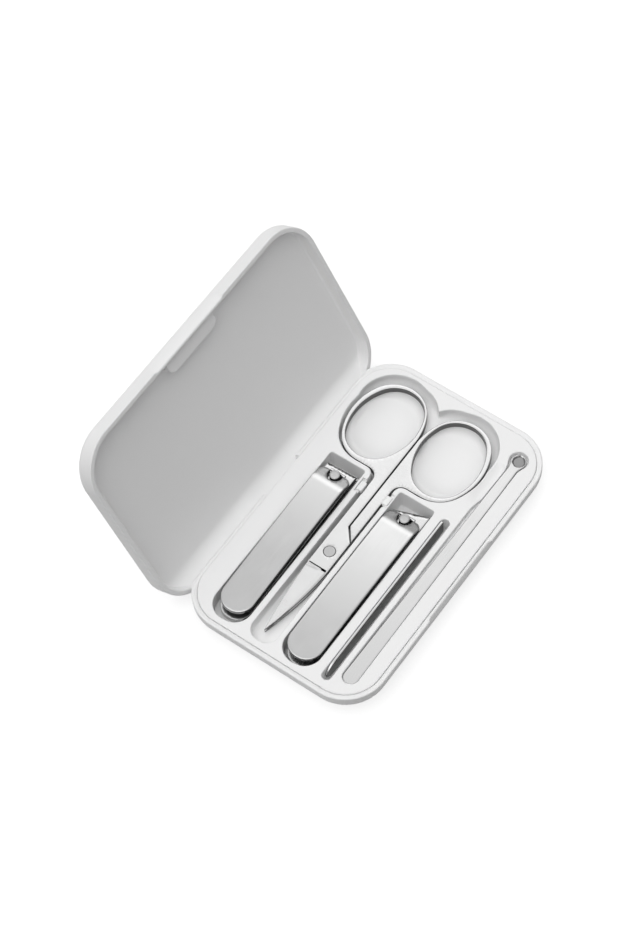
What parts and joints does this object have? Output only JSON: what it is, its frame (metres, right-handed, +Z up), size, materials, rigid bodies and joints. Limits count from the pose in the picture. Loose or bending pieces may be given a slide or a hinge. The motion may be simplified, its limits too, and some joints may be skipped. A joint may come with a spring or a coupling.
{
  "type": "manicure set case",
  "caption": "Slim hinged case with rounded corners, its magnetic lid open over a moulded tray that holds nail clippers, scissors, a file and an ear pick.",
  "frame": {"origin": "centre of the flat underside of the case's base", "axes": "+X along the case towards the scissors' rings, +Y across it towards the hinge, +Z up"},
  "size_m": [0.128, 0.1198, 0.075],
  "materials": {
    "case_plastic": "satin",
    "tray_plastic": "satin",
    "magnet": "plated",
    "pin_steel": "polished",
    "arm_steel": "satin",
    "lever_steel": "satin",
    "scissors_steel": "satin",
    "file_steel": "etched"
  },
  "bodies": {
    "base": {"base_shell": "case_plastic", "tray_insert": "tray_plastic", "base_magnets": "magnet", "hinge_pin": "pin_steel"},
    "lid": {"lid_shell": "case_plastic", "lid_magnet_cover": "case_plastic", "lid_magnets": "magnet"},
    "finger_clipper": {"finger_clipper_lower_arm": "arm_steel", "finger_clipper_rear_rivet": "pin_steel", "finger_clipper_pin": "pin_steel"},
    "finger_upper_arm": {"finger_clipper_upper_arm": "arm_steel"},
    "finger_lever": {"finger_clipper_lever": "lever_steel"},
    "toe_clipper": {"toe_clipper_lower_arm": "arm_steel", "toe_clipper_rear_rivet": "pin_steel", "toe_clipper_pin": "pin_steel"},
    "toe_upper_arm": {"toe_clipper_upper_arm": "arm_steel"},
    "toe_lever": {"toe_clipper_lever": "lever_steel"},
    "scissors": {"scissors_pivot_screw": "pin_steel"},
    "scissors_top": {"scissors_top_half": "scissors_steel"},
    "scissors_bottom": {"scissors_bottom_half": "scissors_steel"},
    "file": {"nail_file": "file_steel"},
    "pick": {"ear_pick": "lever_steel"}
  },
  "joints": [
    {"name": "lid_hinge", "type": "hinge", "parent": "base", "child": "lid", "pos_m": [0, 0.0367, 0.0075], "axis": [1, 0, 0], "range_deg": [0, 116]},
    {"name": "finger_clipper_lift", "type": "slide", "parent": "base", "child": "finger_clipper", "axis": [0, 0, 1], "range_m": [0, 0.02]},
    {"name": "finger_clipper_jaw", "type": "hinge", "parent": "finger_clipper", "child": "finger_upper_arm", "pos_m": [-0.0489, 0.0216, 0.00605], "axis": [0, 1, 0], "range_deg": [0, 1.1], "stiffness_Nm_per_rad": 12},
    {"name": "finger_clipper_lever_tilt", "type": "hinge", "parent": "finger_clipper", "child": "finger_lever", "pos_m": [0.0114, 0.0216, 0.01155], "axis": [0, 1, 0], "range_deg": [0, 80]},
    {"name": "toe_clipper_lift", "type": "slide", "parent": "base", "child": "toe_clipper", "axis": [0, 0, 1], "range_m": [0, 0.02]},
    {"name": "toe_clipper_jaw", "type": "hinge", "parent": "toe_clipper", "child": "toe_upper_arm", "pos_m": [-0.0503, -0.00905, 0.00525], "axis": [0, 1, 0], "range_deg": [0, 0.45], "stiffness_Nm_per_rad": 12},
    {"name": "toe_clipper_lever_tilt", "type": "hinge", "parent": "toe_clipper", "child": "toe_lever", "pos_m": [0.0114, -0.00905, 0.00935], "axis": [0, 1, 0], "range_deg": [0, 80]},
    {"name": "scissors_lift", "type": "slide", "parent": "base", "child": "scissors", "axis": [0, 0, 1], "range_m": [0, 0.1]},
    {"name": "scissors_top_pivot", "type": "hinge", "parent": "scissors", "child": "scissors_top", "pos_m": [-0.0158, 0.0061, 0.008], "axis": [0, 0, 1], "range_deg": [0, 18]},
    {"name": "scissors_bottom_pivot", "type": "hinge", "parent": "scissors", "child": "scissors_bottom", "pos_m": [-0.0158, 0.0061, 0.008], "axis": [0, 0, 1], "range_deg": [-18, 0]},
    {"name": "nail_file_lift", "type": "slide", "parent": "base", "child": "file", "axis": [0, 0, 1], "range_m": [0, 0.025]},
    {"name": "ear_pick_lift", "type": "slide", "parent": "base", "child": "pick", "axis": [0, 0, 1], "range_m": [0, 0.02]}
  ],
  "couplings": [
    {"joint": "scissors_top_pivot", "follows": "scissors_lift", "rad_per_m": 3.14},
    {"joint": "scissors_bottom_pivot", "follows": "scissors_lift", "rad_per_m": -3.14}
  ]
}
